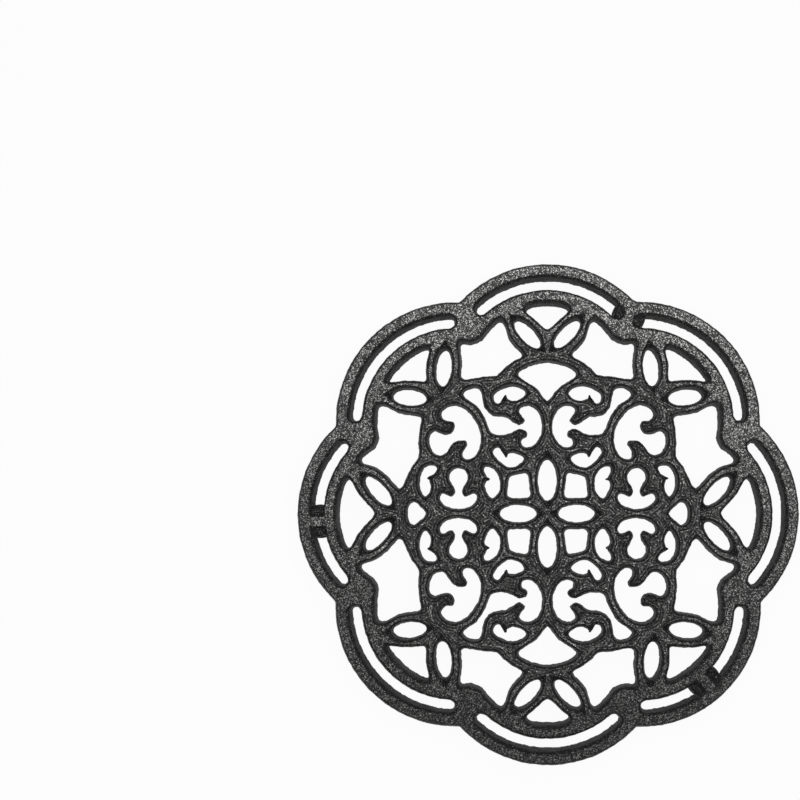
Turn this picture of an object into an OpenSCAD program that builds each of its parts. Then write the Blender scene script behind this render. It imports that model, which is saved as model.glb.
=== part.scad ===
// Round openwork trivet: a double rim of eight lobes round a scrolled lattice with leaf hooks, cast in one
// piece and standing on three feet, each with a rubber cap.
// Millimetres, +Z up. The origin lies on the table below the middle of the trivet.

/* [Overall] */
// Width across two opposite lobes, at the foot of the outer wall
overall_d = 203; // [160:1:240]
// Height from the table to the top face that the pot stands on
overall_h = 16; // [14:0.5:22]
// Depth of the openwork plate
plate_t = 7; // [5:0.5:8]

/* [Rims] */
// Width of the outer rim at its foot
outer_rim_w = 6.8; // [6:0.1:8]
// Width of the long slots between the two rims, at their foot
slot_w = 3.7; // [3:0.1:4.5]
// Width of the inner rim at its foot
inner_rim_w = 6.5; // [5.5:0.1:7.5]
// Iron left between the ends of two neighbouring slots, at its foot
land_w = 9.9; // [8:0.1:14]
// How far each wall of the rims leans in between its foot and the top face
rim_draft = 1; // [0.4:0.1:1.2]

/* [Lattice] */
// Width of a plain rib of the lattice at its foot
rib_w = 3.5; // [3.2:0.1:4]
// How far each wall of the lattice leans in between its foot and the top face
rib_draft = 0.75; // [0.4:0.05:0.85]
// How far the tip of a leaf hook lies below the top face
hook_drop = 1.8; // [0.8:0.1:2.5]
// Depth of the furrows in the leaf hooks and the scroll ribs
furrow_d = 0.5; // [0.3:0.1:0.8]
// Half width of the same furrows where they are widest
furrow_w = 0.9; // [0.6:0.1:1.2]

/* [Feet] */
// Outer diameter of a rubber cap
cap_d = 13.8; // [12:0.1:16]
// Height of a rubber cap
cap_h = 6; // [5:0.5:7]
// Thickness of rubber under the foot
cap_floor = 2; // [1.5:0.1:3]
// Thickness of a cap's wall at its mouth
cap_wall = 1.3; // [1:0.1:1.8]
// Bevel round a cap's lower and upper edges
cap_bevel = 0.6; // [0.3:0.1:0.8]
// Clearance between a foot's peg and the bore of its cap
cap_gap = 0.1; // [0.05:0.05:0.2]
// Free height between a cap's mouth and the boss above it
mouth_gap = 0.4; // [0.2:0.1:0.8]
// Diameter of the boss that joins a foot to both rims
boss_d = 12.6; // [11:0.1:14]
// How far a boss's shoulders lie below the top face
boss_drop = 2.5; // [2:0.1:4]
// Width of the web that crosses a slot over a boss, at the top face
web_w = 4.6; // [3.5:0.1:8]
// Iron left at its foot between the two slots that end over the boss in the notch
foot_land_w = 5.6; // [4.6:0.1:10]

/* [Hidden] */
// Overlap of a cutting shape past the face that it cuts
cut = 0.5;
// Steps along a lobe, along a slot and round its ends, from one point of a curve to the next and round an
// oval, and facets of the feet and the furrows
lobe_steps = 22;
slot_steps = 13;
slot_end_steps = 3;
curve_steps = 2;
oval_steps = 18;
foot_fn = 28;
furrow_fn = 6;
// Number of lobes, and the angle from one to the next
lobes = 8;
lobe_turn = 360 / lobes;
half_turn = 360 / 2;

// Every share below is taken of the pattern's radius, at the foot of the walls.
// Distance of a lobe's centre from the middle, and the lobe's own radius
lobe_centre_share = 0.529;
lobe_radius_share = 0.489;
pattern_r = overall_d / 2 / (lobe_centre_share + lobe_radius_share);
lobe_centre = lobe_centre_share * pattern_r;
lobe_r = lobe_radius_share * pattern_r;
// Width of rib that the lattice's outlines are drawn for
rib_share = 0.0345;

plate_z = overall_h - plate_t;
// How much wider the lattice openings are cut than their outlines
open_by = (rib_share * pattern_r - rib_w) / 2;

// Ovals, each with its centre, its length, its width and its turn from the X axis: the petals of the middle
// flower, which the axes halve, and the leaves of one quarter
petal_shares = [[[0, 0.136], 0.165, 0.075], [[0.1185, 0], 0.147, 0.069]];
petal_turns = [90, 0];
leaf_shares = [
    [[0.0804, 0.7294], 0.1445, 0.055],
    [[0.4207, 0.592], 0.149, 0.061],
    [[0.56, 0.472], 0.138, 0.063],
    [[0.6874, 0.0917], 0.148, 0.057]];
leaf_turns = [47.5, 95, 6.4, 47];

// Corners of the four-sided opening between two petals, and how much of each side their rounding takes
pane_shares = [[0.068, 0.064], [0.164, 0.064], [0.155, 0.15], [0.08, 0.167]];
pane_corner_share = 0.016;

// Curves, each through the points where its shape turns
// Beans above and beside the pane, each with a tooth in one side
low_bean_shares = [
    [0.094, 0.222], [0.118, 0.197], [0.16, 0.189], [0.2, 0.219], [0.221, 0.252], [0.201, 0.27],
    [0.184, 0.252], [0.169, 0.237], [0.147, 0.246], [0.11, 0.237]];
side_bean_shares = [
    [0.222, 0.062], [0.24, 0.077], [0.255, 0.117], [0.241, 0.142], [0.257, 0.17], [0.252, 0.191],
    [0.219, 0.181], [0.196, 0.148], [0.193, 0.103], [0.202, 0.082]];
// Beans outside the mushroom and above the small scroll, each with a tooth in one side
outer_bean_shares = [
    [0.448, 0.184], [0.469, 0.195], [0.5, 0.184], [0.517, 0.145], [0.516, 0.103], [0.496, 0.068],
    [0.477, 0.092], [0.475, 0.12], [0.481, 0.142], [0.462, 0.16]];
high_bean_shares = [
    [0.087, 0.487], [0.108, 0.467], [0.143, 0.459], [0.169, 0.471], [0.19, 0.451], [0.212, 0.452],
    [0.218, 0.482], [0.185, 0.505], [0.143, 0.517], [0.103, 0.506]];
// Right half of the mushroom, which is a round head above a crescent, and the place of its middle line
mushroom_half_shares = [
    [0, 0.183], [0.022, 0.177], [0.036, 0.155], [0.033, 0.133], [0.02, 0.112], [0.013, 0.092],
    [0.018, 0.074], [0.028, 0.067], [0.045, 0.074], [0.063, 0.081], [0.075, 0.069], [0.07, 0.049],
    [0.047, 0.029], [0, 0.019]];
mushroom_middle_share = 0.361;
// Large scroll in the diagonal, with two leaf hooks
large_scroll_shares = [
    [0.374, 0.439], [0.413, 0.427], [0.431, 0.4], [0.412, 0.377], [0.383, 0.375], [0.376, 0.353],
    [0.391, 0.325], [0.424, 0.321], [0.456, 0.334], [0.475, 0.32], [0.479, 0.285], [0.463, 0.25],
    [0.434, 0.237], [0.411, 0.249], [0.393, 0.277], [0.367, 0.296], [0.333, 0.297], [0.325, 0.278],
    [0.342, 0.25], [0.34, 0.226], [0.313, 0.222], [0.286, 0.246], [0.272, 0.285], [0.275, 0.337],
    [0.296, 0.38], [0.329, 0.42]];
// Small scroll beside the Y axis, with two leaf hooks, open to a channel that climbs between two ribs
small_scroll_shares = [
    [0.021, 0.35], [0.035, 0.302], [0.066, 0.271], [0.1, 0.274], [0.103, 0.3], [0.08, 0.313],
    [0.086, 0.337], [0.116, 0.345], [0.149, 0.327], [0.186, 0.32], [0.225, 0.327], [0.241, 0.361],
    [0.259, 0.401], [0.288, 0.44], [0.322, 0.463], [0.342, 0.484], [0.318, 0.505], [0.279, 0.508],
    [0.266, 0.48], [0.256, 0.43], [0.22, 0.396], [0.172, 0.392], [0.144, 0.374], [0.115, 0.359],
    [0.089, 0.377], [0.103, 0.398], [0.114, 0.42], [0.092, 0.437], [0.058, 0.432], [0.033, 0.404]];
// Right half of the fan on the Y axis, and lower half of the drop on the X axis
fan_half_shares = [
    [0, 0.457], [0.028, 0.493], [0.06, 0.523], [0.118, 0.56], [0.099, 0.585], [0.054, 0.603], [0, 0.612]];
drop_half_shares = [[0.492, 0], [0.517, -0.027], [0.541, -0.046], [0.56, -0.033], [0.567, 0]];
// Stretches inside the rim of the openings that end on it: the large gaps above and beside the diagonal
// lobe, the wedge between that lobe's leaves, and half of those between the leaves on the two axes
top_gap_shares = [
    [0.352, 0.665], [0.345, 0.608], [0.35, 0.556], [0.324, 0.547], [0.259, 0.559], [0.205, 0.563],
    [0.18, 0.59], [0.135, 0.622], [0.101, 0.643], [0.126, 0.671], [0.156, 0.709], [0.173, 0.761]];
side_gap_shares = [
    [0.75, 0.205], [0.698, 0.189], [0.648, 0.151], [0.601, 0.101], [0.579, 0.134], [0.55, 0.194],
    [0.523, 0.23], [0.525, 0.285], [0.519, 0.356], [0.514, 0.39], [0.55, 0.398], [0.608, 0.409],
    [0.655, 0.435]];
diagonal_wedge_shares = [
    [0.638, 0.536], [0.585, 0.543], [0.521, 0.541], [0.495, 0.54], [0.494, 0.575], [0.493, 0.615],
    [0.481, 0.66]];
top_wedge_half_shares = [[0, 0.75], [0.03, 0.773], [0.06, 0.8], [0.085, 0.823]];
side_wedge_half_shares = [[0.703, 0], [0.73, -0.034], [0.77, -0.081], [0.8, -0.135]];
// Stretches of the same openings along the rim, each between two angles off a lobe's axis
top_gap_turns = [[-37, -56], [56, 49.5]];
side_gap_turns = [[-34.5, -57], [57, 44.5]];
diagonal_wedge_turns = [22, -12];
top_wedge_turns = [-12, 0];
side_wedge_turns = [-24, 0];

// Lines of the furrows along the scroll rib and in the teeth of the beans, in one quarter
furrow_line_shares = [
    [[0.251, 0.345], [0.263, 0.375], [0.283, 0.405], [0.308, 0.432], [0.338, 0.453]],
    [[0.19, 0.3], [0.172, 0.281], [0.169, 0.255]],
    [[0.18, 0.42], [0.178, 0.44], [0.17, 0.457]],
    [[0.287, 0.17], [0.272, 0.155], [0.256, 0.148]],
    [[0.43, 0.16], [0.45, 0.148], [0.47, 0.139]]];
// Lines down the leaf hooks of one quarter, from root to tip
hook_line_shares = [
    [[0.14, 0.425], [0.128, 0.402], [0.108, 0.385]],
    [[0.15, 0.305], [0.13, 0.325], [0.105, 0.327]],
    [[0.46, 0.38], [0.43, 0.36], [0.398, 0.353]],
    [[0.385, 0.225], [0.378, 0.258], [0.35, 0.283]],
    [[0.28, 0.122], [0.31, 0.112], [0.331, 0.09]],
    [[0.43, 0.12], [0.412, 0.098], [0.39, 0.085]]];
// Size of a furrow at its two ends, as a share of its full size
furrow_end_share = 0.35;
// Width of a hook, as a share, and how far the slope over it runs on past its tip
hook_w_share = 0.05;
hook_past_share = 0.02;

// Feet: the angle of the first one, which lies in a notch, and from it to each of the two others, in lobes
first_foot_turn = 67.5;
foot_spread = 114.4;
// Distance of the foot in the notch and of the feet in the lobes from the middle
notch_foot_share = 0.872;
lobe_foot_share = 0.928;
foot_turns = [first_foot_turn, first_foot_turn + foot_spread, first_foot_turn - foot_spread];
foot_shares = [notch_foot_share, lobe_foot_share, lobe_foot_share];
peg_d = cap_d - 2 * (cap_wall + cap_gap);
// Length of a web past each side of its slot, into the rims
web_overlap = rim_draft + cut;

// Twice the area inside an outline, negative when the outline runs clockwise
function turning(p) =
    [for (i = [0:len(p) - 1]) cross(p[i], p[(i + 1) % len(p)])] * [for (q = p) 1];
function reversed(p) = [for (i = [len(p) - 1:-1:0]) p[i]];
function ordered(p) = turning(p) > 0 ? p : reversed(p);
// Whole outline from its half on one side of an axis, which starts and ends on that axis
function both_sides(p) = concat(p, [for (i = [len(p) - 2:-1:1]) [-p[i].x, p[i].y]]);
function both_ways(p) = concat(p, [for (i = [len(p) - 2:-1:1]) [p[i].x, -p[i].y]]);
function turned(p, a) = [p.x * cos(a) - p.y * sin(a), p.x * sin(a) + p.y * cos(a)];
// Point of a smooth curve through b and c, with a before them and d after them
function between(a, b, c, d, t) =
    b + t / 2 * (c - a + t * (2 * a - 5 * b + 4 * c - d + t * (3 * (b - c) + d - a)));
// Closed smooth curve through the given points
function smooth(p) = let (k = len(p), n = curve_steps) [for (i = [0:k - 1]) for (j = [0:n - 1])
    between(p[(i + k - 1) % k], p[i], p[(i + 1) % k], p[(i + 2) % k], j / n)];
// Corners rounded over a length r of their sides
function rounded(p, r) = let (k = len(p)) [for (i = [0:k - 1]) for (t = [0:0.5:1])
    let (a = p[(i + k - 1) % k] - p[i], b = p[(i + 1) % k] - p[i])
        p[i] + r * (pow(1 - t, 2) * a / norm(a) + t * t * b / norm(b))];
// Outline moved outwards by w along its own normals
function moved(p, w) = let (k = len(p)) [for (i = [0:k - 1])
    let (along = p[(i + 1) % k] - p[(i + k - 1) % k]) p[i] + w * [along.y, -along.x] / norm(along)];
// Points of an arc of n equal steps, from number first to number end of them
function arc(r, from, to, n, first, end) = [for (i = [first:end])
    let (a = from + (to - from) * i / n) r * [cos(a), sin(a)]];
// Place on a lobe of a point that is given from the lobe's centre and axis
function on_lobe(p, lobe) = turned(p + [lobe_centre, 0], lobe * lobe_turn);

// Outline of the plate: one arc a lobe, from notch to notch
notch_r = lobe_centre * cos(lobe_turn / 2) + sqrt(pow(lobe_r, 2) - pow(lobe_centre * sin(lobe_turn / 2), 2));
notch_half = atan2(notch_r * sin(lobe_turn / 2), notch_r * cos(lobe_turn / 2) - lobe_centre);
lobe_outline = arc(lobe_r, -notch_half, notch_half, lobe_steps, 0, lobe_steps - 1);
plate_outline = [for (i = [0:lobes - 1]) for (p = lobe_outline) on_lobe(p, i)];

// Outline of one slot, from the centre of its lobe
slot_outer = lobe_r - outer_rim_w;
slot_middle = slot_outer - slot_w / 2;
slot_inner = slot_outer - slot_w;
// Angle from a lobe's axis to the centre of its slot's round end, which leaves half of land to the notch
function slot_turn(land) = lobe_turn / 2
    + asin((lobe_centre * sin(lobe_turn / 2) - (land + slot_w) / 2) / slot_middle);
function slot_end(turn, from) = let (n = slot_end_steps)
    [for (p = arc(slot_w / 2, from, from + half_turn, n, 0, n)) p + slot_middle * [cos(turn), sin(turn)]];
function slot_outline(low, high) = concat(
    arc(slot_outer, low, high, slot_steps, 1, slot_steps - 1),
    slot_end(high, high),
    arc(slot_inner, high, low, slot_steps, 1, slot_steps - 1),
    slot_end(low, low + half_turn));
// Iron between the slots at the notch that lies at an angle: there is less of it over the foot
function land_at(turn) = turn == first_foot_turn ? foot_land_w : land_w;

// Stretch of the inner rim's inner edge on one lobe, between two angles off the lobe's axis
edge_r = slot_inner - inner_rim_w - open_by;
function rim_edge(lobe, turns, n) = [for (p = arc(edge_r, turns[0], turns[1], n, 0, n)) on_lobe(p, lobe)];
top_gap = concat(
    rim_edge(2, top_gap_turns[0], 3), rim_edge(1, top_gap_turns[1], 1), top_gap_shares * pattern_r);
side_gap = concat(
    rim_edge(1, side_gap_turns[0], 3), rim_edge(0, side_gap_turns[1], 2), side_gap_shares * pattern_r);
diagonal_wedge = concat(rim_edge(1, diagonal_wedge_turns, 4), diagonal_wedge_shares * pattern_r);
top_wedge = both_sides(concat(top_wedge_half_shares * pattern_r, rim_edge(2, top_wedge_turns, 2)));
side_wedge = both_ways(concat(side_wedge_half_shares * pattern_r, rim_edge(0, side_wedge_turns, 3)));
mushroom = [for (p = both_sides(mushroom_half_shares)) p + [mushroom_middle_share, 0]] * pattern_r;

// Solid of the plate's depth whose walls lean outwards by lean from the outline at their foot. It runs on
// straight past both faces by over.
module drafted(outline, lean, over) {
    k = len(outline);
    low = [for (p = outline) [p.x, p.y, 0]];
    high = [for (p = moved(outline, lean)) [p.x, p.y, plate_t]];
    past = [0, 0, over];
    rings = over > 0
        ? [[for (p = low) p - past], low, high, [for (p = high) p + past]]
        : [low, high];
    last = k * (len(rings) - 1);
    walls = [for (n = [0:k:last - k]) for (i = [0:k - 1]) let (j = (i + 1) % k)
        [n + i, n + k + i, n + k + j, n + j]];
    translate([0, 0, plate_z]) polyhedron([for (ring = rings) each ring],
        concat([[for (i = [0:k - 1]) i], [for (i = [k - 1:-1:0]) last + i]], walls));
}

module lattice_opening(outline) {
    drafted(moved(outline, open_by), rib_draft, cut);
}

module curved_opening(points) {
    lattice_opening(smooth(ordered(points)));
}

module oval_opening(shares, turn) {
    size = shares * pattern_r;
    lattice_opening([for (p = arc(1, 0, 360, oval_steps, 0, oval_steps - 1))
        size[0] + turned([p.x * size[1], p.y * size[2]] / 2, turn)]);
}

// Everything that one quarter of the lattice has, drawn in all four
module in_quarters() {
    for (x = [0, 1], y = [0, 1]) mirror([x, 0, 0]) mirror([0, y, 0]) children();
}

module quarter_openings() {
    lattice_opening(rounded(pane_shares * pattern_r, pane_corner_share * pattern_r));
    for (shares = [low_bean_shares, side_bean_shares, outer_bean_shares, high_bean_shares])
        curved_opening(shares * pattern_r);
    for (shares = [large_scroll_shares, small_scroll_shares]) curved_opening(shares * pattern_r);
    for (points = [mushroom, top_gap, side_gap, diagonal_wedge]) curved_opening(points);
    for (i = [0:len(leaf_turns) - 1]) oval_opening(leaf_shares[i], leaf_turns[i]);
}

module axis_openings() {
    for (y = [0, 1]) mirror([0, y, 0]) {
        oval_opening(petal_shares[0], petal_turns[0]);
        curved_opening(both_sides(fan_half_shares * pattern_r));
        curved_opening(top_wedge);
    }
    for (x = [0, 1]) mirror([x, 0, 0]) {
        oval_opening(petal_shares[1], petal_turns[1]);
        curved_opening(both_ways(drop_half_shares * pattern_r));
        curved_opening(side_wedge);
    }
}

// Cutter of a furrow at one point of its line, which lies below the top face by fall. Its size is a share of
// the full one.
module furrow_point(p, fall, size) {
    translate([p.x, p.y, overall_h - fall - furrow_d * size])
        cylinder(h = 2 * furrow_d * size, r1 = 0, r2 = furrow_w * size, $fn = furrow_fn);
}

// Furrow along a line whose points lie below the top face by falls
module furrow(line, falls) {
    last = len(line) - 1;
    for (i = [1:last]) hull() {
        furrow_point(line[i - 1], falls[i - 1], i == 1 ? furrow_end_share : 1);
        furrow_point(line[i], falls[i], i == last ? furrow_end_share : 1);
    }
}

// Slope over a leaf hook from the top face at its root down to its tip, and the furrow in that slope
module hook_cut(line) {
    along = line[len(line) - 1] - line[0];
    run = norm(along) + hook_past_share * pattern_r;
    steepness = hook_drop / norm(along);
    translate([line[0].x, line[0].y, overall_h]) rotate([90, 0, atan2(along.y, along.x)])
        linear_extrude(hook_w_share * pattern_r, center = true)
            polygon([[0, 0], [run, -run * steepness], [run, cut], [0, cut]]);
    furrow(line, [for (p = line) (p - line[0]) * along / norm(along) * steepness]);
}

module furrows() {
    for (line = furrow_line_shares * pattern_r) furrow(line, [for (p = line) 0]);
    for (line = hook_line_shares * pattern_r) hook_cut(line);
}

module at_foot(i) {
    rotate(foot_turns[i]) translate([foot_shares[i] * pattern_r, 0, 0]) children();
}

// Boss under the rims, and the peg that a cap sits on
module foot_boss() {
    translate([0, 0, cap_floor]) cylinder(h = plate_z, d = peg_d, $fn = foot_fn);
    boss_z = cap_h + mouth_gap;
    translate([0, 0, boss_z]) cylinder(h = overall_h - boss_drop - boss_z, d = boss_d, $fn = foot_fn);
}

// Web that carries the top face across the slot, with the same lean as the lattice
module foot_web() {
    length = slot_w + 2 * web_overlap;
    hull() {
        translate([-length / 2, -web_w / 2 - rib_draft, plate_z]) cube([length, web_w + 2 * rib_draft, cut]);
        translate([-length / 2, -web_w / 2, overall_h - cut]) cube([length, web_w, cut]);
    }
}

module trivet_casting() color([0.07, 0.07, 0.075]) {
    difference() {
        drafted(plate_outline, -rim_draft, 0);
        for (i = [0:lobes - 1]) rotate(i * lobe_turn) translate([lobe_centre, 0, 0])
            drafted(slot_outline(
                -slot_turn(land_at((i - 1 / 2) * lobe_turn)), slot_turn(land_at((i + 1 / 2) * lobe_turn))),
                rim_draft, cut);
        in_quarters() {
            quarter_openings();
            furrows();
        }
        axis_openings();
    }
    for (i = [0:len(foot_turns) - 1]) at_foot(i) foot_boss();
    for (i = [1:len(foot_turns) - 1]) at_foot(i) foot_web();
}

// Cup of rubber pushed over a peg, which stands on its floor
module foot_cap(i) color([0.03, 0.03, 0.03]) at_foot(i) {
    cap_r = cap_d / 2;
    bore_r = cap_r - cap_wall;
    rotate_extrude($fn = foot_fn) polygon([
        [0, 0], [cap_r - cap_bevel, 0], [cap_r, cap_bevel], [cap_r, cap_h - cap_bevel],
        [cap_r - cap_bevel, cap_h], [bore_r, cap_h], [bore_r, cap_floor], [0, cap_floor]]);
}

module foot_cap_upper_right() foot_cap(0);
module foot_cap_left() foot_cap(1);
module foot_cap_lower_right() foot_cap(2);

trivet_casting();
foot_cap_upper_right();
foot_cap_left();
foot_cap_lower_right();
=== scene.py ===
import math

import bmesh
import bpy
import numpy as np
from mathutils import Matrix, Vector, noise
from mathutils.kdtree import KDTree

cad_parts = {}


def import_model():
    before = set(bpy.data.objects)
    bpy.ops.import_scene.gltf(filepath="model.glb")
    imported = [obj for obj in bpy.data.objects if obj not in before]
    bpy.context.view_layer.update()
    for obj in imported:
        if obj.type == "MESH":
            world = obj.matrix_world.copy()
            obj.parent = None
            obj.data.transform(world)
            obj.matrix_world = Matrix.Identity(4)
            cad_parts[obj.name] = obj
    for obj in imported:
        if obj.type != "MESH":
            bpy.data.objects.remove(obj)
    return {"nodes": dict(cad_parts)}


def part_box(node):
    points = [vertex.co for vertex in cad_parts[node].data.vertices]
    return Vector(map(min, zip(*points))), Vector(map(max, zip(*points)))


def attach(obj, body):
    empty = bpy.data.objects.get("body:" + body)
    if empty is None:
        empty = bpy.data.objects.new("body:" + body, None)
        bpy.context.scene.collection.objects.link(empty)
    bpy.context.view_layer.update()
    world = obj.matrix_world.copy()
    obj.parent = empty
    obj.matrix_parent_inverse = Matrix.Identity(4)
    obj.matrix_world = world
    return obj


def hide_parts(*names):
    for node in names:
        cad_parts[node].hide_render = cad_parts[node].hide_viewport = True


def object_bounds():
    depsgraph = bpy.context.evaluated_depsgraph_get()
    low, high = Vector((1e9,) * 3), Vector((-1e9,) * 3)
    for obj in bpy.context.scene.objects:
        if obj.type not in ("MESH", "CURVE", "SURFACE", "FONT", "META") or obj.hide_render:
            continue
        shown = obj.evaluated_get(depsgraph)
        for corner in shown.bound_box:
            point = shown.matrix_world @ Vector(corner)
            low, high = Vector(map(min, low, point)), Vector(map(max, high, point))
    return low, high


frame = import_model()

cad_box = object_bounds()

MM = 0.001
# CAD nodes that are replaced here, and the depth of the casting's plate
CASTING = "trivet_casting"
CAPS = ["foot_cap_upper_right", "foot_cap_left", "foot_cap_lower_right"]
PLATE_DEPTH = 7 * MM

# The photograph: its side in pixels, and its scale on the trivet's top face
PHOTO_SIDE = 800
PX_PER_M = 2486
# The camera's height over the top face, the points of that face right below it and where it aims, its shift,
# and the width of its sensor in millimetres
CAMERA_HEIGHT = 0.800
CAMERA_FOOT = (-0.0125, -0.0083)
CAMERA_AIM = (-0.0336, 0.0199)
CAMERA_SHIFT = (-0.08, 0.08)
SENSOR = 36

# Studio: the floor's half side and grey, the share of plain white that the camera sees in it, the world's
# strength, and each lamp's place, side and power in watts
FLOOR_REACH = 3.0
FLOOR_GREY = 0.8
FLOOR_GLOW = 0.95
WORLD_STRENGTH = 0.42
LAMPS = {"key": ((0.03, 0.04, 0.30), 0.24, 0.42), "fill": ((-0.8, -0.5, 1.2), 0.9, 2.0)}

# Casting's skin: its voxel, its smoothing and the share of its triangles that is kept
VOXEL = 0.36 * MM
SMOOTHING, SMOOTH_ROUNDS = 0.5, 1
KEPT_SHARE = 0.26
# Unevenness of the skin: the length and height of its waves, lumps, grains and wrinkles, and where in its
# noise each one starts
WAVES = (9 * MM, 0.12 * MM, 3.1)
LUMPS = (2.2 * MM, 0.19 * MM, 7.7)
GRAINS = (0.95 * MM, 0.08 * MM, 12.3)
WRINKLES = (1.5 * MM, 0.16 * MM, 15.9)
# The lattice lies within the first of these radii, and the rims lie beyond the second. The last one holds
# the corners of the lattice's openings, and not the ends of the slots
LATTICE_RADII = (66 * MM, 80 * MM)
CORNER_RADIUS = 84.5 * MM
# Hooks and furrows: how much deeper they are pressed than in the CAD model, and down to which depth
PRESSED, PRESSED_DEPTH = 1.4, 1.8 * MM
# Crests of the ribs: how far they lie from a wall's foot, and how far the rounding reaches down from them
CREST_REACH = 2.1 * MM
CREST_DEPTH = 4.2 * MM
# Ridges along the middle of the ribs: their width, and the share above which the iron isn't sunken
RIDGE_WIDTH = 0.55 * MM
RIDGE_SHARE = 0.5
# Sunken iron of the lattice beside the ridges: how deep it lies, and the distances from a wall between which
# it falls
SUNKEN_DEPTH = 0.45 * MM
SUNKEN_REACH = (1.85 * MM, 2.5 * MM)
# Rims: how much further in they are rounded on the sides that face the middle, how far the feet of the walls
# stand proud there, and how far an edge lies in from its foot at the top face
RIM_BEVEL = 0.50 * MM
RIM_FOOT = 0.45 * MM
RIM_LEAN = 1.0 * MM
# Radius round a foot's middle that the outlines of its boss keep within
BOSS_RADIUS = 6.7 * MM
# Free height above a rubber cap, below which the pegs keep their fit
PEG_CLEAR = 1.0 * MM

# Valleys that run from an oval's ends and from a gap's sharp corners into the iron: each kind's length and
# depth at the opening, and the steepness of their sides
OVAL_VALLEY = (4.4 * MM, 3.0 * MM)
CORNER_VALLEY = (3.6 * MM, 1.6 * MM)
VALLEY_SLOPE = 1.1
# How much longer than wide an opening with a valley is at least, and an oval
LONG, LONG_OVAL = 1.25, 1.6
# Corners: the reach along an outline over which its turn is measured, and the widest angle of a sharp one
TURN_REACH = 2.4 * MM
TURN_WIDEST = math.radians(104)
# Outlines: how far off its level a face may lie, the decimals at which corners are one place, the spacing of
# the points that stand for an outline, and the fewest of them
LEVEL_OFF = 0.01 * MM
PLACE_DECIMALS = 6
OUTLINE_STEP = 0.2 * MM
OUTLINE_LEAST = 8
# Grid that the plan of the ribs is kept on: its cell, its margin, and how many widths a blur reaches
CELL = 0.25 * MM
MARGIN = 2 * CELL
BLUR_REACH = 3

# Sharper tips of the teeth in the beans of one quarter, each from its root to its tip in millimetres. Their
# radii and their drops from the top face are given at both ends
TEETH = [((17.3, 26.4), (16.6, 23.0)), ((26.7, 13.8), (23.6, 13.9)),
         ((45.1, 14.5), (48.3, 14.2)), ((17.5, 44.4), (16.9, 47.7))]
TOOTH_RADII = (1.7 * MM, 0.45 * MM)
TOOTH_DROPS = (0.6 * MM, 2.0 * MM)
TOOTH_STEPS = 6

# Rubber caps: wall, floor, depth of the dish in the foot, width of the ring that they stand on, and radii of
# the edges at the foot, at the mouth and inside the mouth
CAP_WALL = 1.3 * MM
CAP_FLOOR = 2.0 * MM
CAP_DISH = 0.3 * MM
CAP_RING = 1.6 * MM
FOOT_EDGE = 0.9 * MM
MOUTH_EDGE = FOOT_EDGE / 2
BORE_EDGE = FOOT_EDGE / 3
LATHE_STEPS = 72
FILLET_STEPS = 4

# Mesh attributes: how far a place is from a wall, and its share in a ridge. On a valley's brim the first is
# no more than this value, and further down less
CREST, RIDGE = "crest", "ridge"
VALLEY_CREST = 1.8 * MM

# Iron: the sizes of its fine noise, its specks and its broad patches, its tint and its specular level
FINE_SIZE = 0.6 * MM
SPECK_SIZE = 0.36 * MM
PATCH_SIZE = 14 * MM
IRON_TINT = (1.0, 0.985, 0.975)
IRON_SPECULAR = 0.2
# Where the iron is rubbed, and lighter as painted light from above: how level it is, how far below the top
# face this starts and is full, lower places keeping painted shade, and the distances from a wall between
# which the painted shade on an opening's collar ends
RUBBED_AND_LIT_LEVEL = (0.60, 0.93)
RUBBED_AND_LIT_DEPTHS = (3.4 * MM, 0.3 * MM)
SHADED_COLLAR = (1.20 * MM, 1.62 * MM)
# Roughness of the iron, unrubbed and on its brightest rubbed specks, and each bump's distance and strength
IRON_ROUGHNESS = (0.60, 0.35)
FINE_BUMP = (0.25 * MM, 0.9)
STREAK_BUMP = (-0.25 * MM, 0.8)
# Streaks of painted shade and painted glints along the ribs: their spacing, how many spacings they stray and
# over which length, and the length over which they break off. Each kind has its band of the spacing and its
# band of the breaks
STREAK_SPACING = 1.1 * MM
STRAY, STRAY_SIZE = 0.30, 3 * MM
BREAK_SIZE = 1.6 * MM
STREAK_BAND, STREAK_BREAKS = (0.10, 0.36), (0.34, 0.48)
PAINTED_GLINT_BAND, PAINTED_GLINT_BREAKS = (0.15, 0.03), (0.52, 0.64)
# Greys of the rubbed lattice: off its ridges with painted shade and on them with a painted highlight, in a
# streak of painted shade and in a painted glint, and of the rims
RIDGE_HIGHLIGHT_GREYS = (0.054, 0.145)
STREAK_SHADE_GREY = 0.014
PAINTED_GLINT_GREY = 0.25
RIM_PATCHES, RIM_GREYS = (0.35, 0.65), (0.098, 0.072)
# Painted light, brighter towards the back and the right: its reach to all sides of the middle, and the share
# that grows from left to right and not from front to back. Lattice and rims have factors at both ends, and
# the rims take a power of the painted light
PAINTED_LIGHT_REACH = 100 * MM
PAINTED_LIGHT_SIDEWAYS = 0.10
LATTICE_PAINTED_LIGHT = (0.76, 1.24)
RIM_PAINTED_LIGHT = (1.4, 0.45, 2.30)
# Grain of the specks, whose brightest ones are painted glints: a power of their random value, and the
# factors on the grey at its ends
LATTICE_GRAIN_AND_GLINTS = (4.5, 0.38, 4.4)
RIM_GRAIN_AND_GLINTS = (5, 0.24, 6.3)
# Greys of the walls' patches, and of the shoulders: painted shade near black, with painted glints in their
# specks. Then the height of the normal from a wall to the shoulders and from a wall to the underside
WALL_PATCHES, WALL_GREYS = (0.3, 0.7), (0.026, 0.044)
SHOULDER_GLINT_SPECKS, SHOULDER_SHADE_AND_GLINT_GREYS = (0.88, 1.0), (0.008, 0.15)
SHOULDER_LEVEL = (0.40, 0.65)
UNDERSIDE_LEVEL = (-0.6, -0.9)

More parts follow.
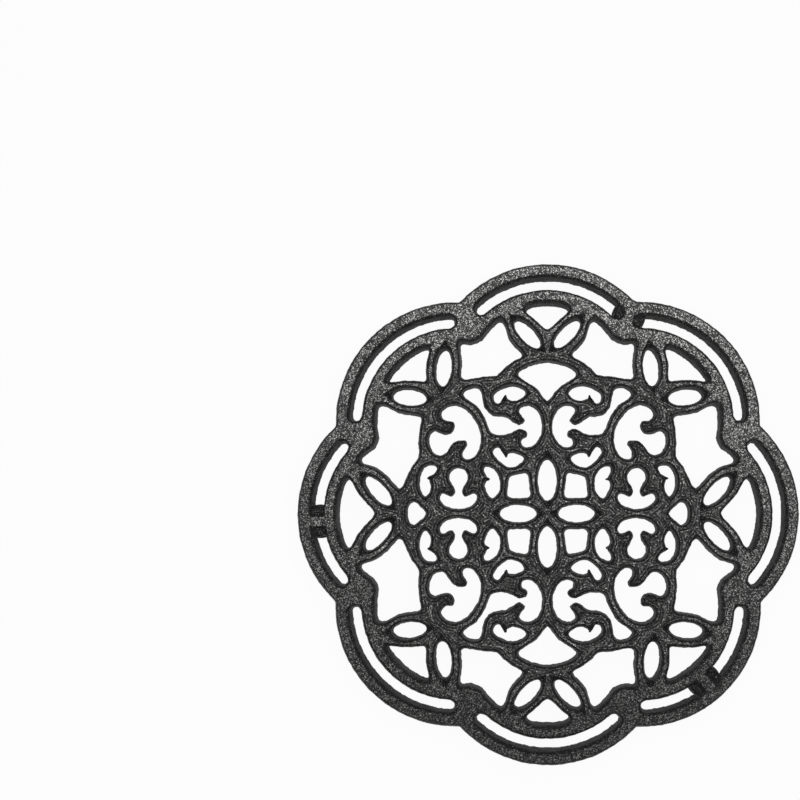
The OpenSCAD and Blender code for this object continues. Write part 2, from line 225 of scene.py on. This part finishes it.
# Rubber: the sizes of its fine and broad noise, its patches, their greys and roughness, and its bump
RUBBER_FINE, RUBBER_BROAD = 0.4 * MM, 4 * MM
RUBBER_PATCHES = (0.3, 0.7)
RUBBER_GREYS = (0.022, 0.034)
RUBBER_ROUGHNESS = (0.6, 0.75)
RUBBER_BUMP = (0.05 * MM, 0.5)


def link(name, mesh):
    """New object of a mesh, in the scene."""
    obj = bpy.data.objects.new(name, mesh)
    bpy.context.scene.collection.objects.link(obj)
    return obj


def shaped(obj, kind, **settings):
    """Changes an object's mesh by one modifier."""
    modifier = obj.modifiers.new(kind.lower(), kind)
    for name, value in settings.items():
        setattr(modifier, name, value)
    graph = bpy.context.evaluated_depsgraph_get()
    mesh = bpy.data.meshes.new_from_object(obj.evaluated_get(graph))
    obj.modifiers.clear()
    obj.data = mesh


def points_of(mesh):
    """Places of a mesh's vertices, one row each."""
    points = np.empty(len(mesh.vertices) * 3, np.float32)
    mesh.vertices.foreach_get("co", points)
    return points.reshape(-1, 3)


def set_points(mesh, points):
    """Moves a mesh's vertices."""
    mesh.vertices.foreach_set("co", points.ravel())
    mesh.update()


def normals_of(mesh):
    """Normals of a mesh's vertices, one row each."""
    normals = np.empty(len(mesh.vertices) * 3, np.float32)
    mesh.vertex_normals.foreach_get("vector", normals)
    return normals.reshape(-1, 3)


def in_lattice(points):
    """Share of the lattice at each point, from 1 in it to 0 at the rims."""
    return np.interp(np.hypot(points[:, 0], points[:, 1]), LATTICE_RADII, (1, 0))


def foot_outlines(mesh, level):
    """Closed outlines of the faces that lie flat at a level, each a loop of 2-D points."""
    points = points_of(mesh).astype(float)
    corners = np.empty(len(mesh.polygons) * 3, np.int64)
    mesh.polygons.foreach_get("vertices", corners)
    places, ids = np.unique(np.round(points[corners], PLACE_DECIMALS), axis=0, return_inverse=True)
    ids = ids.reshape(-1, 3)
    flat = (np.abs(places[ids][:, :, 2] - level) < LEVEL_OFF).all(axis=1)
    edges = {(face[i], face[(i + 1) % 3]) for face in ids[flat].tolist() for i in range(3)}
    follow = {start: end for start, end in edges if (end, start) not in edges}
    loops = []
    while follow:
        start, at = follow.popitem()
        loop = [start]
        while at != start and at in follow:
            loop.append(at)
            at = follow.pop(at)
        loops.append(places[loop][:, :2])
    return loops


def spread(loop):
    """Points along a closed loop, evenly spaced."""
    ends = np.roll(loop, -1, axis=0)
    lengths = np.hypot(*(ends - loop).T)
    along = np.concatenate([[0], np.cumsum(lengths)])
    count = max(OUTLINE_LEAST, round(along[-1] / OUTLINE_STEP))
    at = np.linspace(0, along[-1], count, endpoint=False)
    closed = np.vstack([loop, loop[:1]])
    return np.column_stack([np.interp(at, along, closed[:, k]) for k in range(2)])


def valleys(points):
    """Valleys beyond an opening's ends or corners, each with its start, direction, length and depth."""
    offsets = points - points.mean(axis=0)
    axis = np.linalg.svd(offsets, full_matrices=False)[2][0]
    along, across = offsets @ axis, offsets @ np.array((-axis[1], axis[0]))
    stretch = np.ptp(along) / np.ptp(across)
    if stretch < LONG:
        return []
    reach = round(TURN_REACH / OUTLINE_STEP)
    back = np.roll(points, reach, axis=0) - points
    ahead = np.roll(points, -reach, axis=0) - points
    # A loop runs round its opening one way and round iron the other way, which the sign of its turn tells
    area = (points[:, 0] * np.roll(points[:, 1], -1) - points[:, 1] * np.roll(points[:, 0], -1)).sum()
    turn = (ahead[:, 0] * back[:, 1] - ahead[:, 1] * back[:, 0]) * math.copysign(1, area)
    if turn.min() > 0 and stretch > LONG_OVAL:
        ends = (along.argmax(), along.argmin())
        return [(points[i], axis * math.copysign(1, along[i]), *OVAL_VALLEY) for i in ends]
    cosine = (back * ahead).sum(axis=1) / np.hypot(*back.T) / np.hypot(*ahead.T)
    angle = np.arccos(np.clip(cosine, -1, 1))
    found = []
    for i in range(len(points)):
        near = [(i + k) % len(points) for k in range(-reach, reach + 1)]
        if turn[i] > 0 and angle[i] < TURN_WIDEST and angle[i] <= angle[near].min():
            out = -(back[i] / np.hypot(*back[i]) + ahead[i] / np.hypot(*ahead[i]))
            found.append((points[i], out / np.hypot(*out), *CORNER_VALLEY))
    return found


def at_boss(points):
    """Which 2-D points lie over a boss."""
    centres = [sum(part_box(node), Vector()) / 2 for node in CAPS]
    return np.any([np.hypot(*(points - np.array(centre.xy)).T) < BOSS_RADIUS for centre in centres], axis=0)


def distance_to(points, places):
    """How far each 2-D place is from the nearest of the points."""
    tree = KDTree(len(points))
    for i, point in enumerate(points):
        tree.insert((*point, 0), i)
    tree.balance()
    return np.array([tree.find((*place, 0))[2] for place in places])


def valley_depths(places, loops):
    """How far the valleys lie below the top face at each 2-D place, and less than zero outside them."""
    depths = np.full(len(places), -1.0)
    for start, way, length, depth in (valley for loop in loops for valley in valleys(loop)):
        if at_boss(start[None])[0] or np.hypot(*start) > CORNER_RADIUS:
            continue
        near = np.flatnonzero((np.abs(places - start) < length).all(axis=1))
        offset = places[near] - start
        along = np.maximum(offset @ way, 0)
        away = np.hypot(*(offset - along[:, None] * way).T)
        depths[near] = np.maximum(depths[near], depth * (1 - along / length) - VALLEY_SLOPE * away)
    return depths


def blurred(grid, width):
    """A square grid of values, softened over a width given in cells."""
    reach = math.ceil(BLUR_REACH * width)
    weights = np.exp(-0.5 * (np.arange(-reach, reach + 1) / width) ** 2)
    weights /= weights.sum()
    for _ in range(2):
        grid = np.array([np.convolve(row, weights, "same") for row in grid]).T
    return grid


class Ribs:
    """Plan of the casting on a grid, which tells where its ribs are rounded and where their ridges run."""

    def __init__(self, mesh, foot_z, top_z, half):
        loops = [spread(loop) for loop in foot_outlines(mesh, foot_z)]
        edges = np.vstack(loops)
        boss_edges = np.vstack([spread(loop) for loop in foot_outlines(mesh, top_z)])
        self.start = -half - MARGIN
        count = math.ceil(-2 * self.start / CELL) + 1
        line = self.start + CELL * np.arange(count)
        places = np.stack(np.meshgrid(line, line, indexing="ij"), axis=-1).reshape(-1, 2)
        distance = np.minimum(distance_to(edges[~at_boss(edges)], places),
                              distance_to(boss_edges[at_boss(boss_edges)], places) + RIM_LEAN)
        self.distance = distance.reshape(count, count)
        self.valley = valley_depths(places, loops).reshape(count, count)
        # The distance bends down across a rib's middle, and the more so the straighter its two slopes meet
        soft = blurred(self.distance, RIDGE_WIDTH / CELL)
        bend = sum(np.roll(soft, step, axis) for step in (1, -1) for axis in (0, 1)) - 4 * soft
        sharpest = CELL ** 2 * math.sqrt(2 / math.pi) / RIDGE_WIDTH
        self.ridge = np.clip(-bend / sharpest, 0, 1)
        # The rims are rounded wider on the sides that face the trivet's middle
        x, y = places.T.reshape(2, count, count)
        radius = np.hypot(x, y)
        slope = np.gradient(soft, CELL)
        inward = np.clip((slope[0] * x + slope[1] * y) / np.maximum(radius, CELL), 0, 1)
        self.distance = self.distance - RIM_BEVEL * inward * np.interp(radius, LATTICE_RADII, (0, 1))

    def at(self, places):
        """Distance from the nearest wall's foot, depth in a valley and share in a ridge at 2-D places."""
        cells = (places - self.start) / CELL
        low = np.clip(np.floor(cells).astype(int), 0, len(self.distance) - 2)
        (i, j), (u, v) = low.T, (cells - low).T
        return [(grid[i, j] * (1 - u) + grid[i + 1, j] * u) * (1 - v)
                + (grid[i, j + 1] * (1 - u) + grid[i + 1, j + 1] * u) * v
                for grid in (self.distance, self.valley, self.ridge)]


def add_tooth(shell, root, tip, foot_z, top_z):
    """Adds one tooth's tip to a bmesh: a wedge that narrows and falls from its root to its tip."""
    way = (tip - root).normalized()
    start = math.atan2(way.y, way.x)
    lower, upper = [], []
    for end, radius, drop, turn in zip((root, tip), TOOTH_RADII, TOOTH_DROPS, (math.pi, 0)):
        for i in range(TOOTH_STEPS + 1):
            angle = start + turn + math.pi * (i / TOOTH_STEPS - 0.5)
            place = end + radius * Vector((math.cos(angle), math.sin(angle)))
            lower.append(shell.verts.new((*place, foot_z)))
            upper.append(shell.verts.new((*place, top_z - drop)))
    shell.faces.new(lower[::-1])
    shell.faces.new(upper)
    for i in range(len(lower)):
        j = (i + 1) % len(lower)
        shell.faces.new((lower[i], lower[j], upper[j], upper[i]))


def add_teeth(mesh, foot_z, top_z):
    """Adds the tips of all teeth to a mesh, the same ones in each quarter."""
    shell = bmesh.new()
    shell.from_mesh(mesh)
    for root, tip in TEETH:
        for x in (1, -1):
            for y in (1, -1):
                ends = [Vector((x * p[0], y * p[1])) * MM for p in (root, tip)]
                add_tooth(shell, *ends, foot_z, top_z)
    shell.to_mesh(mesh)
    shell.free()


def press(points, top_z):
    """Presses the hooks and furrows deeper. Right below them this evens out, and lower points stay."""
    depth = top_z - points[:, 2]
    bottom = PRESSED * PRESSED_DEPTH
    pressed = np.interp(depth, (0, PRESSED_DEPTH, 2 * bottom), (0, bottom, 2 * bottom))
    points[:, 2] = np.where(depth < 2 * bottom, top_z - pressed, points[:, 2])


def round_ribs(points, ribs, top_z):
    """Lowers the points near the top face to the rounded ribs, the valleys and the sunken iron."""
    upper = np.flatnonzero(points[:, 2] > top_z - CREST_DEPTH)
    distance, valley, ridge = ribs.at(points[upper, :2].astype(float))
    short = np.clip(1 - distance / CREST_REACH, 0, 1)
    drop = np.maximum(CREST_DEPTH * (1 - np.sqrt(1 - short ** 2)), valley)
    points[upper, 2] = np.minimum(points[upper, 2], top_z - drop)
    sunken = np.clip((distance - SUNKEN_REACH[0]) / (SUNKEN_REACH[1] - SUNKEN_REACH[0]), 0, 1)
    sunken *= np.clip(-valley / SUNKEN_DEPTH, 0, 1) * (1 - np.clip(ridge / RIDGE_SHARE, 0, 1))
    points[upper, 2] -= SUNKEN_DEPTH * in_lattice(points[upper]) * sunken


def unevenness(points, kind, share=1):
    """Height over each point of one kind of unevenness, of which the share given is used."""
    size, height, start = kind
    offset = Vector((start, start, start))
    return height * share * np.array([noise.noise(Vector(point) / size + offset) for point in points])


def roughen(mesh, top_z):
    """Gives the skin its unevenness, and lets the feet of the rims' walls stand proud towards the middle."""
    points, normals = points_of(mesh), normals_of(mesh)
    lattice = in_lattice(points)
    rough = (unevenness(points, WAVES) + unevenness(points, LUMPS) + unevenness(points, GRAINS)
             + unevenness(points, WRINKLES, lattice))
    clear = np.clip((points[:, 2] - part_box(CAPS[0])[1].z) / PEG_CLEAR, 0, 1)
    out = points[:, :2] / np.maximum(np.hypot(points[:, 0], points[:, 1]), VOXEL)[:, None]
    inward = np.clip(-(normals[:, :2] * out).sum(axis=1), 0, 1) * (1 - lattice)
    low_down = np.clip((top_z - points[:, 2]) / PLATE_DEPTH, 0, 1)
    points += normals * (rough * clear)[:, None]
    points[:, :2] -= out * (RIM_FOOT * inward * low_down * clear)[:, None]
    set_points(mesh, points)


def casting_surface():
    """Skin of the casting: rounded ribs, and the waves, lumps and grains that sand leaves in iron."""
    cad = frame["nodes"][CASTING]
    low, high = (np.array(corner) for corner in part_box(CASTING))
    top_z = high[2]
    ribs = Ribs(cad.data, top_z - PLATE_DEPTH, top_z, high[0])
    mesh = cad.data.copy()
    mesh.materials.clear()
    add_teeth(mesh, top_z - PLATE_DEPTH / 2, top_z)
    obj = link("iron_casting", mesh)

    shaped(obj, "REMESH", mode="VOXEL", voxel_size=VOXEL)
    points = points_of(obj.data)
    press(points, top_z)
    round_ribs(points, ribs, top_z)
    set_points(obj.data, points)

    shaped(obj, "REMESH", mode="VOXEL", voxel_size=VOXEL)
    shaped(obj, "SMOOTH", factor=SMOOTHING, iterations=SMOOTH_ROUNDS)
    roughen(obj.data, top_z)
    shaped(obj, "DECIMATE", ratio=KEPT_SHARE)

    mesh = obj.data
    points = np.clip(points_of(mesh), low, high)
    set_points(mesh, points)
    distance, valley, ridge = ribs.at(points[:, :2].astype(float))
    for name, values in ((CREST, np.minimum(distance, VALLEY_CREST - valley)), (RIDGE, ridge)):
        attribute = mesh.attributes.new(name, "FLOAT", "POINT")
        attribute.data.foreach_set("value", values.astype(np.float32))
    mesh.shade_smooth()
    mesh.update()
    return obj


def lathe(name, profile, centre):
    """Closed solid of revolution about a vertical axis. The profile runs from the axis and back to it."""
    verts = [(centre.x, centre.y, centre.z + profile[0][1]), (centre.x, centre.y, centre.z + profile[-1][1])]
    ring = profile[1:-1]
    for r, z in ring:
        for i in range(LATHE_STEPS):
            angle = 2 * math.pi * i / LATHE_STEPS
            verts.append((centre.x + r * math.cos(angle), centre.y + r * math.sin(angle), centre.z + z))
    faces = []
    last = 2 + (len(ring) - 1) * LATHE_STEPS
    for i in range(LATHE_STEPS):
        j = (i + 1) % LATHE_STEPS
        faces.append((0, 2 + j, 2 + i))
        faces.append((1, last + i, last + j))
        for k in range(len(ring) - 1):
            a, b = 2 + k * LATHE_STEPS, 2 + (k + 1) * LATHE_STEPS
            faces.append((a + i, a + j, b + j, b + i))
    mesh = bpy.data.meshes.new(name)
    mesh.from_pydata(verts, [], faces)
    mesh.validate()
    mesh.shade_smooth()
    return link(name, mesh)


def rounded(corner, before, after, radius):
    """Points of a soft edge at a profile's corner."""
    corner = Vector(corner)
    start = corner + (Vector(before) - corner).normalized() * radius
    end = corner + (Vector(after) - corner).normalized() * radius
    shares = [i / FILLET_STEPS for i in range(FILLET_STEPS + 1)]
    return [tuple(start.lerp(corner, t).lerp(corner.lerp(end, t), t)) for t in shares]


def rubber_cap(node):
    """Moulded rubber cap: a cup with soft edges and a shallow dish in its foot."""
    low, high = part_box(node)
    radius, height = (high.x - low.x) / 2, high.z - low.z
    bore = radius - CAP_WALL
    profile = [(0, CAP_DISH), (radius - 2 * CAP_RING, CAP_DISH), (radius - CAP_RING, 0)]
    profile += rounded((radius, 0), (radius - CAP_RING, 0), (radius, height), FOOT_EDGE)
    profile += rounded((radius, height), (radius, 0), (bore, height), MOUTH_EDGE)
    profile += rounded((bore, height), (radius, height), (bore, CAP_FLOOR), BORE_EDGE)
    profile += [(bore, CAP_FLOOR), (0, CAP_FLOOR)]
    centre = Vector(((low.x + high.x) / 2, (low.y + high.y) / 2, low.z))
    return lathe(node.replace("foot_cap", "rubber_cap"), profile, centre)


class Shader:
    """Node tree of one material, with short ways to add and join nodes."""

    def __init__(self, name):
        self.material = bpy.data.materials.new(name)
        self.material.use_nodes = True
        self.tree = self.material.node_tree
        self.tree.nodes.clear()

    def add(self, kind, **inputs):
        """New node, with its inputs by name."""
        node = self.tree.nodes.new("ShaderNode" + kind)
        for name, value in inputs.items():
            self.put(node, name.replace("_", " "), value)
        return node

    def put(self, node, name, value):
        """Gives an input a plain value, or joins it to another node's output."""
        socket = node.inputs[name]
        if isinstance(value, bpy.types.NodeSocket):
            self.tree.links.new(value, socket)
        else:
            socket.default_value = value

    def place(self):
        """Place in the frame, because every piece has its origin there."""
        return self.add("TexCoord").outputs["Object"]

    def noise(self, size, detail, roughness=0.5):
        """Noise of a wavelength in metres, from 0 to 1."""
        node = self.add("TexNoise", Vector=self.place(), Scale=1 / size, Detail=detail, Roughness=roughness)
        return node.outputs["Fac"]

    def specks(self, size):
        """Random value from 0 to 1 of each grain of a size in metres."""
        node = self.add("TexVoronoi", Vector=self.place(), Scale=1 / size)
        return self.add("SeparateColor", Color=node.outputs["Color"]).outputs["Red"]

    def ramp(self, value, stops):
        """Colour that a value has between two stops, each a place and a colour."""
        node = self.add("ValToRGB", Fac=value)
        for element, (at, colour) in zip(node.color_ramp.elements, stops):
            element.position = at
            element.color = (*colour, 1)
        return node.outputs["Color"]

    def math(self, operation, a, b=0):
        """Result of a Math node."""
        node = self.add("Math")
        node.operation = operation
        self.put(node, 0, a)
        self.put(node, 1, b)
        return node.outputs[0]

    def times(self, a, b):
        """Product of two values."""
        return self.math("MULTIPLY", a, b)

    def share(self, value, low, high):
        """Where a value lies between two others: 0 at low or before it, 1 at high or past it."""
        return self.add("MapRange", Value=value, From_Min=low, From_Max=high).outputs["Result"]

    def between(self, share, start, end):
        """Value that goes from start to end with a share."""
        return self.add("MapRange", Value=share, To_Min=start, To_Max=end).outputs["Result"]

    def curved(self, share, power, start, end):
        """Value that goes from start to end with a power of a share."""
        return self.between(self.math("POWER", share, power), start, end)

    def level(self, low, high):
        """How level a surface is, by the height of its normal, which is less than zero on an underside."""
        parts = self.add("SeparateXYZ", Vector=self.add("NewGeometry").outputs["Normal"])
        return self.share(parts.outputs["Z"], low, high)

    def along(self, axis, low, high):
        """Where a place lies along an axis of the frame."""
        parts = self.add("SeparateXYZ", Vector=self.place())
        return self.share(parts.outputs[axis], low, high)

    def radius(self, low, high):
        """How far a place lies from the vertical axis."""
        parts = self.add("SeparateXYZ", Vector=self.place())
        squares = [self.math("POWER", parts.outputs[name], 2) for name in "XY"]
        return self.share(self.math("SQRT", self.math("ADD", *squares)), low, high)

    def attribute(self, name):
        """Value of a mesh attribute."""
        node = self.add("Attribute")
        node.attribute_name = name
        return node.outputs["Fac"]

    def bump(self, height, distance, strength):
        """Bump node, which sinks the surface where the distance is less than zero."""
        node = self.add("Bump", Height=height, Distance=abs(distance), Strength=strength)
        node.invert = distance < 0
        return node

    def finish(self, shader):
        """Material with its shader in place."""
        self.add("OutputMaterial", Surface=shader.outputs[0])
        return self.material


def rib_lines(nodes, distance):
    """Streaks, sunken and with painted shade, and painted glints of the ribs, on lines at about one distance
    from a wall, broken off in places.
    """
    stray = nodes.between(nodes.noise(STRAY_SIZE, detail=1), -STRAY, STRAY)
    spacings = nodes.math("DIVIDE", nodes.math("SUBTRACT", distance, SHADED_COLLAR[0]), STREAK_SPACING)
    part = nodes.math("FRACT", nodes.math("ADD", spacings, stray))
    line = nodes.math("ABSOLUTE", nodes.math("SUBTRACT", part, 0.5))
    breaks = nodes.noise(BREAK_SIZE, detail=2)
    streak = nodes.times(nodes.share(line, *STREAK_BAND), nodes.share(breaks, *STREAK_BREAKS))
    painted_glint = nodes.times(nodes.share(line, *PAINTED_GLINT_BAND), nodes.share(breaks, *PAINTED_GLINT_BREAKS))
    return streak, painted_glint


def rubbed_and_lit_greys(nodes, streak, painted_glint, patches):
    """Greys of the lattice and the rims where their coating is rubbed off, with painted light brighter
    towards the back and the right, painted highlights on the ridges, painted shade off them and in the
    streaks, and painted glints.
    """
    # Painted light, brighter towards the back and the right than at the front, and more so on the rims,
    # where the coating is also rubbed off most
    painted_light = nodes.along("Y", -PAINTED_LIGHT_REACH, PAINTED_LIGHT_REACH)
    painted_light = nodes.between(PAINTED_LIGHT_SIDEWAYS, painted_light, nodes.along("X", -PAINTED_LIGHT_REACH, PAINTED_LIGHT_REACH))
    # Painted shade off the ridges and a painted highlight on them, then painted shade in the streaks and
    # painted glints
    lattice = nodes.between(nodes.attribute(RIDGE), *RIDGE_HIGHLIGHT_GREYS)
    lattice = nodes.between(streak, lattice, STREAK_SHADE_GREY)
    lattice = nodes.between(painted_glint, lattice, PAINTED_GLINT_GREY)
    lattice = nodes.times(lattice, nodes.between(painted_light, *LATTICE_PAINTED_LIGHT))
    rim = nodes.between(nodes.share(patches, *RIM_PATCHES), *RIM_GREYS)
    rim = nodes.times(rim, nodes.curved(painted_light, *RIM_PAINTED_LIGHT))
    return lattice, rim


def unrubbed_and_shaded_grey(nodes, specks, patches, grain_and_glints):
    """Grey of the coating: in soft patches on walls, grainy with painted glints on the underside, and near
    black on shoulders as painted shade, with painted glints in its specks.
    """
    wall = nodes.between(nodes.share(patches, *WALL_PATCHES), *WALL_GREYS)
    wall = nodes.between(nodes.level(*UNDERSIDE_LEVEL), wall, nodes.times(wall, grain_and_glints))
    # Shoulders: painted shade near black, with painted glints in their specks
    shoulder_shade = nodes.between(nodes.share(specks, *SHOULDER_GLINT_SPECKS), *SHOULDER_SHADE_AND_GLINT_GREYS)
    return nodes.between(nodes.level(*SHOULDER_LEVEL), wall, shoulder_shade)


def iron_material():
    """Black sand-cast iron: rubbed and grainy on level faces, which are also lighter as painted light from
    above and carry painted glints; painted shade near black on shoulders; smooth on walls.
    """
    nodes = Shader("cast_iron")
    fine = nodes.noise(FINE_SIZE, detail=3, roughness=0.7)
    specks = nodes.specks(SPECK_SIZE)
    patches = nodes.noise(PATCH_SIZE, detail=3)
    distance = nodes.attribute(CREST)
    streak, painted_glint = rib_lines(nodes, distance)

    in_rims = nodes.radius(*LATTICE_RADII)
    # The brightest specks of the grain are painted glints
    grain_and_glints = nodes.curved(specks, *LATTICE_GRAIN_AND_GLINTS)
    ground = nodes.between(in_rims, *rubbed_and_lit_greys(nodes, streak, painted_glint, patches))
    worn_and_lit = nodes.times(ground, nodes.between(in_rims, grain_and_glints, nodes.curved(specks, *RIM_GRAIN_AND_GLINTS)))
    # Level faces near the top are rubbed and lighter as painted light from above; lower places and the
    # collars of the openings keep painted shade
    start, full = (cad_box[1].z - depth for depth in RUBBED_AND_LIT_DEPTHS)
    rubbed_and_lit = nodes.times(nodes.level(*RUBBED_AND_LIT_LEVEL), nodes.along("Z", start, full))
    rubbed_and_lit = nodes.times(rubbed_and_lit, nodes.share(distance, *SHADED_COLLAR))
    grey = nodes.between(rubbed_and_lit, unrubbed_and_shaded_grey(nodes, specks, patches, grain_and_glints), worn_and_lit)

    bump = nodes.bump(fine, *FINE_BUMP)
    nodes.put(bump, "Normal", nodes.bump(streak, *STREAK_BUMP).outputs["Normal"])
    shader = nodes.add("BsdfPrincipled", Normal=bump.outputs["Normal"], Specular_IOR_Level=IRON_SPECULAR)
    nodes.put(shader, "Base Color", nodes.ramp(grey, [(0, (0, 0, 0)), (1, IRON_TINT)]))
    nodes.put(shader, "Roughness", nodes.between(nodes.times(rubbed_and_lit, specks), *IRON_ROUGHNESS))
    return nodes.finish(shader)


def rubber_material():
    """Matte black moulded rubber."""
    nodes = Shader("cap_rubber")
    broad = nodes.noise(RUBBER_BROAD, detail=3)
    bump = nodes.bump(nodes.noise(RUBBER_FINE, detail=2), *RUBBER_BUMP)
    shader = nodes.add("BsdfPrincipled", Normal=bump.outputs["Normal"])
    for name, values in (("Base Color", RUBBER_GREYS), ("Roughness", RUBBER_ROUGHNESS)):
        stops = [(at, (value, value, value)) for at, value in zip(RUBBER_PATCHES, values)]
        nodes.put(shader, name, nodes.ramp(broad, stops))
    return nodes.finish(shader)


def floor_material():
    """White studio floor. The camera sees it near white, and the object's shadow stays on it."""
    nodes = Shader("studio_white")
    diffuse = nodes.add("BsdfDiffuse", Color=(FLOOR_GREY, FLOOR_GREY, FLOOR_GREY, 1))
    glow = nodes.add("Emission", Strength=1.0)
    path = nodes.add("LightPath")
    seen = nodes.math("MAXIMUM", path.outputs["Is Camera Ray"], path.outputs["Is Glossy Ray"])
    seen = nodes.math("MAXIMUM", seen, path.outputs["Is Transmission Ray"])
    mix = nodes.add("MixShader", Fac=nodes.times(seen, FLOOR_GLOW))
    nodes.put(mix, 1, diffuse.outputs[0])
    nodes.put(mix, 2, glow.outputs[0])
    return nodes.finish(mix)


def floor():
    """Plain pale floor that the trivet stands on."""
    side = FLOOR_REACH
    corners = [(-side, -side, 0), (side, -side, 0), (side, side, 0), (-side, side, 0)]
    mesh = bpy.data.meshes.new("floor")
    mesh.from_pydata(corners, [], [(0, 1, 2, 3)])
    mesh.materials.append(floor_material())
    link("floor", mesh)


def world():
    """White world, which the camera sees at full strength and the trivet at less."""
    white = bpy.data.worlds.new("studio")
    bpy.context.scene.world = white
    white.use_nodes = True
    tree = white.node_tree
    background = tree.nodes["Background"]
    path = tree.nodes.new("ShaderNodeLightPath")
    strength = tree.nodes.new("ShaderNodeMapRange")
    strength.inputs["To Min"].default_value = WORLD_STRENGTH
    strength.inputs["To Max"].default_value = 1.0
    tree.links.new(path.outputs["Is Camera Ray"], strength.inputs["Value"])
    tree.links.new(strength.outputs["Result"], background.inputs["Strength"])
    background.inputs["Color"].default_value = (1, 1, 1, 1)


def softbox(name, place, size, power):
    """Square area lamp that faces the trivet."""
    lamp = bpy.data.lights.new(name, "AREA")
    lamp.shape = "SQUARE"
    lamp.size = size
    lamp.energy = power
    obj = bpy.data.objects.new(name, lamp)
    obj.location = place
    obj.rotation_euler = (-Vector(place)).to_track_quat("-Z", "Y").to_euler()
    obj.visible_camera = False
    bpy.context.scene.collection.objects.link(obj)


def camera():
    """Overhead camera. The trivet's place and scale in its picture are those of the photograph."""
    top = cad_box[1].z
    place = Vector((*CAMERA_FOOT, top + CAMERA_HEIGHT))
    ahead = (Vector((*CAMERA_AIM, top)) - place).normalized()
    right = ahead.cross(Vector((0, 1, 0))).normalized()
    up = right.cross(ahead)
    data = bpy.data.cameras.new("camera")
    data.sensor_width = SENSOR
    data.lens = SENSOR * PX_PER_M * CAMERA_HEIGHT / PHOTO_SIDE
    data.shift_x, data.shift_y = CAMERA_SHIFT
    obj = bpy.data.objects.new("camera", data)
    obj.matrix_world = Matrix((right, up, -ahead)).transposed().to_4x4()
    obj.location = place
    bpy.context.scene.collection.objects.link(obj)
    bpy.context.scene.camera = obj


bpy.context.scene.view_settings.view_transform = "Standard"
camera()
floor()
world()
for lamp_name, lamp_values in LAMPS.items():
    softbox(lamp_name, *lamp_values)

iron = iron_material()
casting = casting_surface()
casting.data.materials.append(iron)
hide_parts(CASTING)
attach(casting, "root")

rubber = rubber_material()
for cap_node in CAPS:
    cap = rubber_cap(cap_node)
    cap.data.materials.append(rubber)
    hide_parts(cap_node)
    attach(cap, "root")
